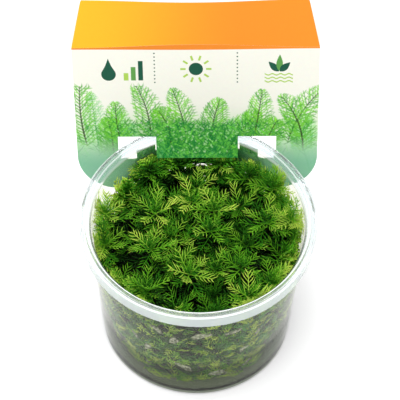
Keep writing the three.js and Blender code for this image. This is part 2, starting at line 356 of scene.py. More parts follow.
def noise_texture(tree, scale, detail=4.0):
    """Noise over the piece's own coordinates; scale is in waves a metre."""
    place = tree.nodes.new("ShaderNodeTexCoord")
    noise = add_node(tree, "ShaderNodeTexNoise", Scale=scale, Detail=detail, Roughness=0.55)
    tree.links.new(place.outputs["Object"], noise.inputs["Vector"])
    return noise


def ramp(tree, source, stops, target):
    """Leads a value through a ramp of colours into the target socket."""
    node = tree.nodes.new("ShaderNodeValToRGB")
    elements = node.color_ramp.elements
    while len(elements) < len(stops):
        elements.new(0.5)
    for element, (position, colour) in zip(elements, stops):
        element.position = position
        element.color = (*colour, 1.0)
    tree.links.new(source, node.inputs["Fac"])
    tree.links.new(node.outputs["Color"], target)


def map_value(tree, source, low, high, target, start=0.0, end=1.0):
    """Leads a value, rescaled from start..end to low..high, into the target socket."""
    node = add_node(tree, "ShaderNodeMapRange", To_Min=low, To_Max=high, From_Min=start, From_Max=end)
    tree.links.new(source, node.inputs["Value"])
    tree.links.new(node.outputs["Result"], target)


def add_bump(tree, shader, height, strength, distance):
    bump = add_node(tree, "ShaderNodeBump", Strength=strength, Distance=distance)
    tree.links.new(height, bump.inputs["Height"])
    tree.links.new(bump.outputs["Normal"], shader.inputs["Normal"])


def plastic_material(name, ior, colour, waviness):
    """Clear plastic, milky where the points' milk value says so; that value also paints white highlight
    lines on the rim, and the shade value darkens the base edge as painted shade.
    """
    material, tree, shader = new_material(name)
    set_inputs(shader, IOR=ior, Specular_Tint=PLASTIC_GLEAM)
    shades = [(0.0, colour), (1.0, BASE_EDGE_PAINTED_SHADE)]
    ramp(tree, point_value(tree, "shade"), shades, shader.inputs["Base Color"])
    map_value(tree, point_value(tree, "milk_and_highlight"), 1.0, 0.0, shader.inputs["Transmission Weight"])
    clouds = noise_texture(tree, 90.0)
    map_value(tree, clouds.outputs["Fac"], 0.0, 0.035, shader.inputs["Roughness"])
    flow = noise_texture(tree, 260.0, detail=2.0)
    add_bump(tree, shader, flow.outputs["Fac"], waviness, 0.0003)
    return material


def gel_material():
    material, tree, shader = new_material("nutrient_gel_grey")
    set_inputs(shader, Base_Color=(0.93, 0.94, 0.93, 1.0), Specular_Tint=(0.25, 0.25, 0.25, 1.0))
    set_inputs(shader, Transmission_Weight=1.0, IOR=1.12)
    clouds = noise_texture(tree, 120.0)
    map_value(tree, clouds.outputs["Fac"], 0.02, 0.12, shader.inputs["Roughness"])
    lumps = noise_texture(tree, 180.0, detail=3.0)
    add_bump(tree, shader, lumps.outputs["Fac"], 0.15, 0.0006)
    absorb = add_node(tree, "ShaderNodeVolumeAbsorption", Color=GEL_ABSORPTION, Density=GEL_DENSITY)
    tree.links.new(absorb.outputs["Volume"], tree.nodes["Material Output"].inputs["Volume"])
    return material


def pale_gel_material():
    material, tree, shader = new_material("pale_gel_lumps")
    clouds = noise_texture(tree, 900.0, detail=3.0)
    cloud = clouds.outputs["Fac"]
    ramp(tree, cloud, [(0.3, srgb("a9b394")), (0.7, srgb("e9eddb"))], shader.inputs["Base Color"])
    map_value(tree, cloud, 0.9, 0.3, shader.inputs["Transmission Weight"], 0.35, 0.65)
    map_value(tree, cloud, 0.1, 0.3, shader.inputs["Roughness"])
    set_inputs(shader, IOR=1.3)
    add_bump(tree, shader, cloud, 0.5, 0.0005)
    return material


def leaf_material():
    material, tree, shader = new_material("feathery_leaf_green")
    patches = noise_texture(tree, 60.0)
    tone = add_node(tree, "ShaderNodeMath")
    tone.operation = "ADD"
    tree.links.new(point_value(tree, "tone"), tone.inputs[0])
    map_value(tree, patches.outputs["Fac"], -TONE_PATCHES, TONE_PATCHES, tone.inputs[1])
    # Tone runs from near-black, for the painted shade deep in the canopy, to pale yellow-green, which
    # also paints the sheen that the low specular level leaves out
    ramp(tree, tone.outputs["Value"], [
        (0.0, srgb("030b01")),
        (0.3, srgb("163f08")),
        (0.55, srgb("3a8a18")),
        (0.78, srgb("7ac02a")),
        (1.0, srgb("cbea5c")),
    ], shader.inputs["Base Color"])
    set_inputs(shader, Specular_IOR_Level=0.12)
    set_inputs(shader, Subsurface_Weight=0.12, Subsurface_Radius=(0.4, 1.0, 0.2), Subsurface_Scale=0.0005)
    cells = noise_texture(tree, 1500.0, detail=2.0)
    map_value(tree, cells.outputs["Fac"], 0.35, 0.6, shader.inputs["Roughness"])
    add_bump(tree, shader, cells.outputs["Fac"], 0.3, 0.0002)
    return material


def card_material():
    material, tree, shader = new_material("printed_label_card")
    print_colour = tree.nodes.new("ShaderNodeVertexColor")
    print_colour.layer_name = "print"
    grain = noise_texture(tree, 700.0, detail=3.0)
    tint = tree.nodes.new("ShaderNodeMix")
    tint.data_type = "RGBA"
    tint.blend_type = "MULTIPLY"
    set_inputs(tint, Factor=0.06)
    tree.links.new(print_colour.outputs["Color"], tint.inputs["A"])
    tree.links.new(grain.outputs["Color"], tint.inputs["B"])
    tree.links.new(tint.outputs["Result"], shader.inputs["Base Color"])
    set_inputs(shader, Specular_IOR_Level=0.18)
    map_value(tree, grain.outputs["Fac"], 0.38, 0.52, shader.inputs["Roughness"])
    add_bump(tree, shader, grain.outputs["Fac"], 0.08, 0.0002)
    return material


def floor_material():
    material, tree, shader = new_material("studio_floor")
    specks = noise_texture(tree, 3.0)
    pale = [(0.0, (0.95,) * 3), (1.0, (0.98,) * 3)]
    ramp(tree, specks.outputs["Fac"], pale, shader.inputs["Base Color"])
    set_inputs(shader, Emission_Color=(1.0, 1.0, 1.0, 1.0), Emission_Strength=FLOOR_GLOW)
    set_inputs(shader, Specular_IOR_Level=0.1, Roughness=0.9)
    return material


# Camera, light and floor

def add_camera():
    rim_centre = Vector((0.0, 0.0, CUP_HEIGHT * MM))
    back = Vector((0.0, -math.cos(CAMERA_ELEVATION), math.sin(CAMERA_ELEVATION)))
    level_right = Vector((1.0, 0.0, 0.0))
    level_up = back.cross(level_right)
    right = math.cos(CAMERA_ROLL) * level_right + math.sin(CAMERA_ROLL) * level_up
    up = math.cos(CAMERA_ROLL) * level_up - math.sin(CAMERA_ROLL) * level_right
    facing = Matrix((right, up, back)).transposed()
    to_rim = Vector((RIM_CENTRE_RIGHT_PX, -RIM_CENTRE_DOWN_PX, -FOCAL_PX)).normalized()
    aside = Vector((0.0, 0.0, -1.0)).rotation_difference(to_rim)
    data = bpy.data.cameras.new("photo_camera")
    data.sensor_width = SENSOR_WIDTH
    data.lens = FOCAL_PX / IMAGE_SIZE * SENSOR_WIDTH
    camera = bpy.data.objects.new("photo_camera", data)
    turned = facing @ aside.inverted().to_matrix()
    camera.matrix_world = Matrix.Translation(rim_centre + back * CAMERA_DISTANCE) @ turned.to_4x4()
    bpy.context.scene.collection.objects.link(camera)
    bpy.context.scene.camera = camera


def add_softbox():
    data = bpy.data.lights.new("overhead_softbox", "AREA")
    data.shape = "DISK"
    data.size = SOFTBOX_SIZE
    data.energy = SOFTBOX_POWER
    light = bpy.data.objects.new("overhead_softbox", data)
    light.location = SOFTBOX_PLACE
    aim = Vector(SOFTBOX_AIM) - Vector(SOFTBOX_PLACE)
    light.rotation_euler = aim.to_track_quat("-Z", "Y").to_euler()
    bpy.context.scene.collection.objects.link(light)


def add_world():
    world = bpy.data.worlds.new("soft_studio")
    world.use_nodes = True
    background = world.node_tree.nodes["Background"]
    set_inputs(background, Color=(1.0, 1.0, 1.0, 1.0), Strength=WORLD_STRENGTH)
    bpy.context.scene.world = world


def add_stage():
    x = np.array([-1.0, 1.0, 1.0, -1.0]) * FLOOR_HALF_SIZE
    corners = np.stack([x, np.roll(x, 1), np.full(4, FLOOR_LEVEL)], axis=1)
    floor = build_object("studio_floor", corners, [[0, 1, 2], [0, 2, 3]], floor_material())
    add_world()
    add_softbox()
    bpy.context.scene.view_settings.view_transform = "Standard"


# Meshes

class MeshParts:
    """Gathers parts of one mesh, with a value for each vertex."""

    def __init__(self):
        self.vertices, self.triangles, self.values = [], [], []
        self.count = 0

    def add(self, vertices, triangles, values=()):
        self.vertices.append(vertices)
        self.triangles.append(triangles + self.count)
        self.values.append(values)
        self.count += len(vertices)

    def arrays(self):
        return np.vstack(self.vertices), np.vstack(self.triangles), np.concatenate(self.values)


def rounded_profile(corners):
    """Points along [radius, height, rounding] corners, each one eased by a short curve."""
    points = []
    last = len(corners) - 1
    for i, (radius, height, rounding) in enumerate(corners):
        here = np.array([radius, height])
        if rounding == 0 or i in (0, last):
            points.append(here)
            continue
        before = np.array(corners[i - 1][:2]) - here
        after = np.array(corners[i + 1][:2]) - here
        reach = min(rounding, np.linalg.norm(before) * 0.45, np.linalg.norm(after) * 0.45)
        start, end = here + unit(before) * reach, here + unit(after) * reach
        for t in np.linspace(0.0, 1.0, CORNER_STEPS + 1):
            points.append((1 - t) ** 2 * start + 2 * t * (1 - t) * here + t * t * end)
    return np.array(points)


def band_faces(sides, rings):
    """Two triangles for each four-sided gap between neighbouring rings of points."""
    here = np.arange(sides)
    beside = (here + 1) % sides
    low = sides * np.arange(rings - 1)[:, None]
    high = low + sides
    near = np.stack([low + here, low + beside, high + beside], axis=2)
    far = np.stack([low + here, high + beside, high + here], axis=2)
    return np.concatenate([near, far]).reshape(-1, 3)


def turned_mesh(profile, steps):
    """A closed body of revolution from a profile whose two ends are on the axis."""
    angles = np.arange(steps) * 2 * math.pi / steps
    rings = profile[1:-1]
    x = rings[:, 0, None] * np.cos(angles)
    y = rings[:, 0, None] * np.sin(angles)
    z = np.repeat(rings[:, 1, None], steps, axis=1)
    vertices = np.stack([x, y, z], axis=2).reshape(-1, 3)
    first, final = np.full(steps, len(vertices)), np.full(steps, len(vertices) + 1)
    poles = [[0.0, 0.0, profile[0, 1]], [0.0, 0.0, profile[-1, 1]]]
    here = np.arange(steps)
    beside = (here + 1) % steps
    top = (len(rings) - 1) * steps
    start_fan = np.stack([first, beside, here], axis=1)
    end_fan = np.stack([final, top + here, top + beside], axis=1)
    faces = np.vstack([start_fan, band_faces(steps, len(rings)), end_fan])
    vertices = np.vstack([vertices, poles])
    return vertices, outward(vertices, faces)


def outward(vertices, triangles):
    """The triangles, turned about if the closed mesh has its faces pointing in."""
    a, b, c = (vertices[triangles[:, i]] for i in range(3))
    volume = np.einsum("ij,ij->i", a, np.cross(b, c)).sum()
    return triangles if volume > 0 else triangles[:, ::-1]


def wall_outer_radius(height):
    return BASE_RADIUS + (WALL_TOP_RADIUS - BASE_RADIUS) / WALL_TOP_HEIGHT * height


def wall_inner_radius(height):
    return wall_outer_radius(height) - WALL_THICKNESS


def make_cup():
    skirt_bottom = CUP_HEIGHT - SKIRT_HEIGHT
    channel_top = CUP_HEIGHT - FLANGE_THICKNESS
    channel_outer = RIM_RADIUS - SKIRT_THICKNESS
    floor_corner = FLOOR_THICKNESS + BASE_CHAMFER
    under_line = WALL_TOP_HEIGHT - 2 * LINE_WIDTH
    under_lip = mix(wall_inner_radius(WALL_TOP_HEIGHT), LIP_RADIUS, LIP_START)
    profile = rounded_profile([
        (0.0, FLOOR_THICKNESS, 0),
        (wall_inner_radius(floor_corner) - BASE_CHAMFER, FLOOR_THICKNESS, 0.9),
        (wall_inner_radius(floor_corner), floor_corner, 0.9),
        (wall_inner_radius(GEL_TOP), GEL_TOP, 0),
        (wall_inner_radius(under_line), under_line, 0),
        (wall_inner_radius(WALL_TOP_HEIGHT), WALL_TOP_HEIGHT, 0.4),
        (under_lip, mix(WALL_TOP_HEIGHT, CUP_HEIGHT, LIP_START), 0),
        (LIP_RADIUS, CUP_HEIGHT, 0.28),
        (GROOVE_RADIUS - GROOVE_HALF_WIDTH, CUP_HEIGHT, 0.25),
        (GROOVE_RADIUS, CUP_HEIGHT - GROOVE_DEPTH, 0.4),
        (GROOVE_RADIUS + GROOVE_HALF_WIDTH, CUP_HEIGHT, 0.25),
        (RIM_RADIUS - RIM_EDGE_BREAK, CUP_HEIGHT, 0.25),
        (RIM_RADIUS, CUP_HEIGHT - RIM_EDGE_BREAK, 0.3),
        (RIM_RADIUS, CUP_HEIGHT - 2 * RIM_EDGE_BREAK, 0),
        (RIM_RADIUS, skirt_bottom, 0.3),
        (channel_outer, skirt_bottom, 0.3),
        (channel_outer, channel_top, 0.5),
        (WALL_TOP_RADIUS + WALL_THICKNESS, channel_top, 0.3),
        (wall_outer_radius(channel_top - FLANGE_THICKNESS), channel_top - FLANGE_THICKNESS, 0.7),
        (wall_outer_radius(BASE_CHAMFER), BASE_CHAMFER, 0.9),
        (BASE_RADIUS - BASE_CHAMFER, 0.0, 0.9),
        (0.0, 0.0, 0),
    ])
    vertices, faces = turned_mesh(profile, TURNING_STEPS)
    wall_plastic = plastic_material("clear_cup_plastic", WALL_IOR, WALL_TINT, WALL_WAVINESS)
    cup = build_object("clear_cup", vertices, faces, wall_plastic)
    cup.data.set_sharp_from_angle(angle=math.radians(50))
    radius, height = np.hypot(vertices[:, 0], vertices[:, 1]), vertices[:, 2]
    # Milkiness, which also paints the rim's highlight lines and the front skirt's reflection
    add_point_value(cup, "milk_and_highlight", rim_milk_and_highlights(vertices, channel_outer, channel_top))
    # Painted shade: the base edge is darkened as if it showed the dark gel through the thick corner
    at_base_edge = (height < BASE_EDGE_HEIGHT) & (radius > BASE_RADIUS - BASE_CHAMFER - BASE_EDGE_REACH)
    add_point_value(cup, "shade", at_base_edge.astype(float))
    part_cup_faces(cup)
    dress(cup, "clear_plastic", "cup")


def rim_milk_and_highlights(vertices, channel_outer, channel_top):
    """How milky each point of the cup is, with painted light: white highlight lines along the rim's edges
    and the wall's top, and a milkier front skirt that paints the floor's reflection.
    """
    radius, height = np.hypot(vertices[:, 0], vertices[:, 1]), vertices[:, 2]
    behind = smoothstep(*MILK_CHANGE, vertices[:, 1])
    skirt = mix(SKIRT_MILK_AND_PAINTED_REFLECTION, SKIRT_MILK_BEHIND, behind)
    milk_and_highlight = np.where(height > channel_top - NEAR_EDGE, FLANGE_MILK, WALL_MILK)
    milk_and_highlight = np.where(radius > channel_outer - NEAR_EDGE, skirt, milk_and_highlight)
    in_groove = (np.abs(radius - GROOVE_RADIUS) < GROOVE_HALF_WIDTH) & (height > channel_top)
    milk_and_highlight[in_groove] = GROOVE_MILK
    line = mix(RIM_LINE_PAINTED_HIGHLIGHT, RIM_LINE_PAINTED_HIGHLIGHT_BEHIND, behind)
    for line_radius in (LIP_RADIUS, RIM_RADIUS - RIM_EDGE_BREAK / 2):
        on_line = (np.abs(radius - line_radius) < LINE_WIDTH) & (height > CUP_HEIGHT - LINE_WIDTH)
        milk_and_highlight[on_line] = line[on_line]
    at_wall_top = (np.abs(height - WALL_TOP_HEIGHT) < LINE_WIDTH) & (radius < WALL_TOP_RADIUS)
    milk_and_highlight[at_wall_top] = mix(WALL_MILK, WALL_TOP_PAINTED_HIGHLIGHT, behind)[at_wall_top]
    return milk_and_highlight


def part_cup_faces(cup):
    """The rim's thicker plastic, and the inner faces that the gel wets: with no air layer
    there they hardly bend light."""
    cup.data.materials.append(plastic_material("gel_wetted_plastic", 1.0, WALL_TINT, WALL_WAVINESS))
    cup.data.materials.append(plastic_material("rim_plastic", RIM_IOR, RIM_TINT, RIM_WAVINESS))
    for polygon in cup.data.polygons:
        x, y, z = polygon.center / MM
        past_wall = math.hypot(x, y) - wall_outer_radius(z)
        if z > WALL_TOP_HEIGHT or past_wall > WALL_THICKNESS / 2:
            polygon.material_index = 2
        elif past_wall < -WALL_THICKNESS / 2 and FLOOR_THICKNESS / 2 < z < GEL_SURFACE:
            polygon.material_index = 1


def make_gel(material):
    bottom = FLOOR_THICKNESS + GEL_GAP
    corner = bottom + BASE_CHAMFER
    edge = wall_inner_radius(GEL_TOP) - GEL_GAP
    side = [
        (0.0, bottom, 0),
        (wall_inner_radius(corner) - BASE_CHAMFER - GEL_GAP, bottom, 0.8),
        (wall_inner_radius(corner) - GEL_GAP, corner, 0.8),
        (edge, GEL_TOP - 0.1, 0),
    ]
    top = [(mix(edge, 0.0, i / GEL_RINGS), GEL_SURFACE) for i in range(1, GEL_RINGS + 1)]
    profile = np.vstack([rounded_profile(side), top])
    vertices, faces = turned_mesh(profile, TURNING_STEPS // 2)
    x, y, z = vertices.T
    swell = GEL_SWELL * np.sin(x * 0.21 + 1.3) * np.cos(y * 0.17)
    swell += GEL_RIPPLE * np.sin(x * 0.47 - y * 0.39)
    inside = smoothstep(edge, edge - GEL_CALM_EDGE, np.hypot(x, y))
    vertices[:, 2] += np.where(z > GEL_SURFACE - NEAR_EDGE, swell * inside, 0.0)
    gel = build_object("nutrient_gel_block", vertices, faces, material)
    dress(gel, "gel", "nutrient_gel")


def lump_mesh(turn, height, length, width, tilt, rng):
    """A flat knobbly lump on the cup's inner wall; turn is measured from the front."""
    angles = np.linspace(0.0, 2 * math.pi, LUMP_SIDES + 1)[:-1]
    knobs = 1.0 + 0.16 * np.sin(3 * angles + rng.uniform(0, 6))
    knobs += 0.1 * np.sin(5 * angles + rng.uniform(0, 6))
    points = []
    for lift, share in LUMP_RINGS:
        along = share * length / 2 * knobs * np.cos(angles)
        across = share * width / 2 * knobs * np.sin(angles)
        aside = along * math.cos(tilt) - across * math.sin(tilt)
        z = height + along * math.sin(tilt) + across * math.cos(tilt)
        radius = wall_inner_radius(z) - WALL_CLEARANCE / 2 - lift
        place = turn - math.pi / 2 + aside / radius
        points.append(np.stack([radius * np.cos(place), radius * np.sin(place), z], axis=1))
    last = (len(LUMP_RINGS) - 1) * LUMP_SIDES
    under = [[0, i + 1, i] for i in range(1, LUMP_SIDES - 1)]
    over = [[last, last + i, last + i + 1] for i in range(1, LUMP_SIDES - 1)]
    faces = np.vstack([band_faces(LUMP_SIDES, len(LUMP_RINGS)), under, over])
    vertices = np.vstack(points)
    return vertices, outward(vertices - vertices.mean(axis=0), faces)


def make_gel_lumps():
    """Pale bits of gel that stick to the wall among the leaves."""
    rng = np.random.default_rng(LUMP_SEED)
    parts = MeshParts()
    for turn, height, length, width, tilt in GEL_LUMPS:
        parts.add(*lump_mesh(math.radians(turn), height, length, width, math.radians(tilt), rng))
    vertices, faces, _ = parts.arrays()
    lumps = build_object("gel_lumps_on_wall", vertices, faces, pale_gel_material())
    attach(lumps, "root")


# Shoots

def add_thread(parts, points, widths, up, values, sides=THREAD_SIDES):
    """A thread through points, as wide as widths, closed at its foot, with a pointed tip."""
    points, values = np.asarray(points, float), np.asarray(values, float)
    rings = len(points) - 1
    ahead = unit(np.gradient(points, axis=0))
    aside = unit(np.cross(up, ahead))
    lift = np.cross(ahead, aside)
    angles = np.arange(sides) * 2 * math.pi / sides + math.pi / 2
    ring = np.cos(angles)[:, None, None] * aside
    ring = ring + THREAD_FLATNESS * np.sin(angles)[:, None, None] * lift
    body = points + ring * np.asarray(widths)[:, None] / 2
    body = body.transpose(1, 0, 2)[:rings].reshape(-1, 3)
    top, tip = (rings - 1) * sides, rings * sides
    foot_faces = [[0, i + 1, i] for i in range(1, sides - 1)]
    tip_faces = [[top + i, top + (i + 1) % sides, tip] for i in range(sides)]
    faces = np.vstack([foot_faces, band_faces(sides, rings), tip_faces])
    values = np.append(np.repeat(values[:rings], sides), values[-1])
    parts.add(np.vstack([body, points[-1:]]), faces, values)


def leaf_template(rng, fewest_pairs, most_pairs, pinna_widths):
    """A feathery leaf one LEAF_LENGTH long along +X, with its upper face up: a rachis with
    pairs of forward-bent pinnae. Its vertices' values run from 0 at the foot to 1 at the tips."""
    leaf = MeshParts()
    up = np.array([0.0, 0.0, 1.0])
    wave = rng.uniform(-0.25, 0.25)

    def rachis(t):
        return np.array([LEAF_LENGTH * t, wave * math.sin(math.pi * t), 0.0])

    steps = np.linspace(0.0, 1.0, 6)
    add_thread(leaf, [rachis(t) for t in steps], mix(*RACHIS_WIDTHS, steps), up, 0.2 + steps * 0.7)
    pairs = int(rng.integers(fewest_pairs, most_pairs + 1))
    for pair in range(pairs):
        t = PINNAE_START + PINNAE_SPAN * (pair + 0.25 * rng.uniform()) / (pairs - 0.5)
        fullness = 0.45 + 0.55 * math.sin(math.pi * min(1.0, 0.25 + 0.8 * t))
        for hand in (-1, 1):
            reach = PINNA_REACH * fullness * rng.uniform(0.82, 1.08)
            splay = math.radians(mix(*PINNA_SPLAYS, t) + rng.uniform(-9, 9))
            lift = math.radians(rng.uniform(-6, 26))
            foot = rachis(t + 0.02 * hand)
            aside = math.sin(splay)
            ahead = np.array([math.cos(splay), hand * aside * math.cos(lift), aside * math.sin(lift)])
            bend = np.array([0.16, -hand * 0.10, rng.uniform(-0.08, 0.12)]) * reach
            points = [foot, foot + ahead * reach * 0.52 + bend * 0.25, foot + ahead * reach + bend]
            along = (t * 0.8, t * 0.6 + 0.3, min(1.0, t * 0.4 + 0.65))
            add_thread(leaf, points, pinna_widths, up, along)
    return leaf.arrays()


def turn_matrix(direction, ascent, roll):
    """Turns a leaf's own +X to a level direction, tipped up by ascent and rolled about itself."""
    turns = ((direction, "Z"), (-ascent, "Y"), (roll, "X"))
    level, tipped, rolled = (Matrix.Rotation(angle, 3, axis) for angle, axis in turns)
    return np.array(level @ tipped @ rolled)


def stands_in_ring(index):
    return index >= INNER_SHOOT_COUNT


def stem_turn(index):
    """Which way from the cup's middle a shoot stands, as in the part's source."""
    if not stands_in_ring(index):
        return index * GOLDEN_ANGLE
    place = index - INNER_SHOOT_COUNT
    wobble = RING_WOBBLE * math.sin(place * GOLDEN_ANGLE)
    return RING_START + place * 2 * math.pi / RING_SHOOT_COUNT + wobble


def stem_point(index, height):
    """Where a shoot's axis stands at a height, as in the part's source."""
    settled = INNER_STEM_RADIUS * math.sqrt((index + 0.5) / INNER_SHOOT_COUNT)
    rise = (height - GEL_TOP) / (CANOPY_HEIGHTS[0] - GEL_TOP)
    radius = (RING_STEM_RADIUS if stands_in_ring(index) else settled) * mix(GATHER_AT_GEL, 1.0, rise)
    return np.array([*radius * heading(stem_turn(index)), height])


def canopy_height(index):
    height = CANOPY_HEIGHTS[index % len(CANOPY_HEIGHTS)]
    x, y, _ = stem_point(index, height)
    under_tab = y > UNDER_TAB_START and abs(x) < TAB_HALF_WIDTH + LEAF_HALF_WIDTH
    return UNDER_TAB_HEIGHT if under_tab else height


def bend_along_wall(vertices, depth, slide):
    """Leads what would pass the cup's wall along its inner face, at a depth behind it; slide
    is the way that it goes, 0 for sideways and a right angle for up."""
    x, y, z = vertices.T
    radius = np.hypot(x, y)
    excess = np.maximum(radius - wall_inner_radius(z) + WALL_CLEARANCE, 0.0)
    if not excess.any():
        return
    turn = np.arctan2(y, x) + excess * math.cos(slide) / WALL_TOP_RADIUS
    z = np.minimum(z + excess * math.sin(slide), np.maximum(z, HIGHEST_PRESSED))
    inner = wall_inner_radius(z) - WALL_CLEARANCE - depth * smoothstep(0.0, 1.5, excess)
    radius = np.where(excess > 0, inner, radius)
    vertices[:] = np.stack([radius * np.cos(turn), radius * np.sin(turn), z], axis=1)


def stand_clear_of_tab(vertices):
    """Keeps leaves in front of the card's tab, and from rising far in front of it."""
    x, y, z = vertices.T
    aside = np.abs(x - CARD_CENTRE[0])
    near_tab = smoothstep(34.0, 25.0, aside) * smoothstep(27.0, 32.0, y)
    z -= LOWER_AT_TAB * near_tab * np.maximum(z - UNDER_TAB_HEIGHT - 0.6, 0.0)
    up = (z - CARD_CENTRE[2]) / math.cos(CARD_LEAN)
    front = CARD_CENTRE[1] + up * math.sin(CARD_LEAN) - CARD_THICKNESS - TAB_GAP
    meets = (aside <= TAB_HALF_WIDTH + 1.0) & (up > TAB_BOTTOM - 1.0) & (y > front)
    y[meets] = front[meets]


def rosette_rows(axis_point, top, lowest, turn, brightness, deepest_tone):
    """The whorls below a growing tip, top first: foot, ascent, leaf share, turn and tone."""
    half_turn = math.pi / LEAVES_PER_WHORL
    rows = []

    def add_whorl(height, ascent, share, tone):
        row_turn = turn + len(rows) % 2 * half_turn
        rows.append((axis_point(height), math.radians(ascent), share, row_turn, tone))

    for depth, ascent, share, tone in TIP_WHORLS:
        height = top - depth
        add_whorl(height, ascent, share, tone * brightness)
    # Each whorl further down is darker, as far as deepest_tone: painted shade within the canopy, over the
    # older leaves' own darker green
    step, ascent, tone = WHORL_STEP, LOWER_ASCENT, LOWER_TONE * brightness
    while height - step > lowest:
        height -= step
        add_whorl(height, ascent, 1.0, tone)
        step = max(step - 0.15, CLOSEST_WHORLS)
        ascent = max(ascent - 5, 1)
        tone = max(tone - 0.3, deepest_tone)
    return rows


class ShootMesh(MeshParts):
    """The stem and leaves of one shoot; each vertex's value is its tone, which carries painted light and
    shade besides the leaf's own colour.
    """

    def __init__(self, seed, fine_templates, coarse_templates):
        super().__init__()
        self.rng = np.random.default_rng(seed)
        self.fine_templates = fine_templates
        self.coarse_templates = coarse_templates
        self.tone_shift = self.rng.uniform(-0.07, 0.07)

    def add_stem(self, points, widths):
        tones = np.full(len(points), STEM_TONE)
        add_thread(self, points, widths, np.array([0.0, 1.0, 0.0]), tones, STEM_SIDES)

    def add_rows(self, rows):
        rng = self.rng
        lean_turn = rng.uniform(0, 2 * math.pi)
        lean = math.radians(rng.uniform(3, 16))
        for row, (foot, ascent, share, turn, tone) in enumerate(rows):
            templates = self.fine_templates if row < FINE_ROWS else self.coarse_templates
            for leaf in range(LEAVES_PER_WHORL):
                direction = turn + leaf * 2 * math.pi / LEAVES_PER_WHORL + rng.uniform(-0.16, 0.16)
                tipped = ascent + lean * math.cos(direction - lean_turn)
                tipped += math.radians(rng.uniform(-8, 8))
                length = share * rng.uniform(0.84, 1.04)
                self.add_leaf(templates, foot, tipped, length, direction, tone)

    def add_leaf(self, templates, foot, ascent, share, direction, tone):
        rng = self.rng
        template, triangles, along = templates[int(rng.integers(len(templates)))]
        own = template * share
        reach = own[:, 0] / LEAF_LENGTH
        own[:, 2] += LEAF_LENGTH * rng.uniform(-0.16, 0.2) * reach ** 2
        own[:, 1] += LEAF_LENGTH * rng.uniform(-0.1, 0.1) * reach ** 2
        depth = 0.5 * (own[:, 2] - own[:, 2].min())
        own = own @ turn_matrix(direction, ascent, rng.uniform(-0.35, 0.35)).T + foot
        downward = foot[2] < DOWNWARD_BELOW and rng.uniform() < DOWNWARD_SHARE
        slide = math.radians(rng.uniform(50, 130)) * (-1 if downward else 1)
        bend_along_wall(own, depth, slide)
        leaf_tone = tone + self.tone_shift + rng.uniform(-0.09, 0.09)
        self.add(own, triangles, leaf_tone + TIP_LIGHTER * (along - 0.6))

    def add_wall_leaves(self, axis, outward_turn, low, high):
        """Leaves on the stem's outer side, which lie up against the wall."""
        rng = self.rng
        at_back = math.sin(outward_turn) > BACK_STARTS
        low_tip = smoothstep(CANOPY_HEIGHTS[0] - 4.0, CANOPY_HEIGHTS[-1], high + WALL_LEAVES_BELOW_TOP)
        for height in np.arange(high, low, -(BACK_LEAF_STEP if at_back else WALL_LEAF_STEP)):
            near_top = smoothstep(high - 14.0, high, height)
            fill = at_back and height < BACK_FILL_BELOW
            templates = self.coarse_templates if fill else self.fine_templates
            for aside in WALL_LEAF_TURNS:
                turn = outward_turn + aside + rng.uniform(-0.3, 0.3)
                ascent = rng.uniform(-20, 50) + 22 * near_top
                ascent = math.radians(mix(ascent, rng.uniform(50, 78), low_tip * near_top))
                foot = axis(height + rng.uniform(-1.0, 0.5))
                tone = WALL_LEAF_TONE + rng.uniform(-0.16, 0.26)
                self.add_leaf(templates, foot, ascent, rng.uniform(0.8, 1.02), turn, tone)

    def finished(self):
        vertices, faces, tones = self.arrays()
        stand_clear_of_tab(vertices)
        # Painted light: leaves near the wall and towards the sides are lighter, as if lit through the
        # wall; all the others end a little darker
        radius = np.hypot(vertices[:, 0], vertices[:, 1])
        near_wall = smoothstep(4.0, 0.6, wall_inner_radius(vertices[:, 2]) - radius)
        at_side = smoothstep(24.0, 42.0, np.abs(vertices[:, 0]))
        at_side *= smoothstep(45.0, 60.0, vertices[:, 2])
        tones += NEAR_WALL_PAINTED_LIGHT * near_wall + SIDE_PAINTED_LIGHT * at_side - MIDDLE_TONE
        return vertices, faces, np.clip(tones, 0.0, 1.0)


def make_shoot(index, fine_templates, coarse_templates, material):
    shoot = ShootMesh(SHOOT_SEED + index, fine_templates, coarse_templates)
    in_ring = stands_in_ring(index)
    turn = stem_turn(index)
    top = canopy_height(index)
    sway = np.array([*SWAY * heading(shoot.rng.uniform(0, 2 * math.pi)), 0.0])

    def axis(height):
        return stem_point(index, height) + sway * max(0.0, (height - GEL_TOP) / (top - GEL_TOP)) ** 2

    heights = np.linspace(GEL_TOP - ROOT_DEPTH, top - 1.8, 9)
    stem = [axis(height) for height in heights]
    shoot.add_stem(stem, 2 * STEM_RADIUS * np.linspace(1.0, 0.45, len(stem)))
    # Lower canopies are darker all through: painted shade
    brightness = mix(0.8, 1.0, (top - CANOPY_HEIGHTS[-1]) / (CANOPY_HEIGHTS[0] - CANOPY_HEIGHTS[-1]))
    in_front = in_ring and math.sin(turn) < -math.cos(SUNK_LEAVES_TURN)
    deepest_tone = RING_DEEP_TONE if in_ring else 0.0
    shoot.add_rows(rosette_rows(axis, top, LOWEST_WHORL, turn, brightness, deepest_tone))
    if in_ring:
        lowest = SUNK_LOWEST if in_front else LOWEST_WHORL
        shoot.add_wall_leaves(axis, turn, lowest, top - WALL_LEAVES_BELOW_TOP)
    vertices, faces, tones = shoot.finished()
    name = f"shoot_{index + 1:02d}"
    piece = build_object("feathery_" + name, vertices, faces, material)
    add_point_value(piece, "tone", tones)
    dress(piece, "plant", name)
    return len(piece.data.polygons)


def make_shoots(material):
    rng = np.random.default_rng(LEAF_SEED)
    fine, coarse = ([leaf_template(rng, *leaf) for _ in range(count)]
                    for count, *leaf in (FINE_LEAVES, COARSE_LEAVES))
    counts = [make_shoot(index, fine, coarse, material) for index in range(SHOOT_COUNT)]
    print("shoot triangles", sum(counts), "most", max(counts))


# Label card

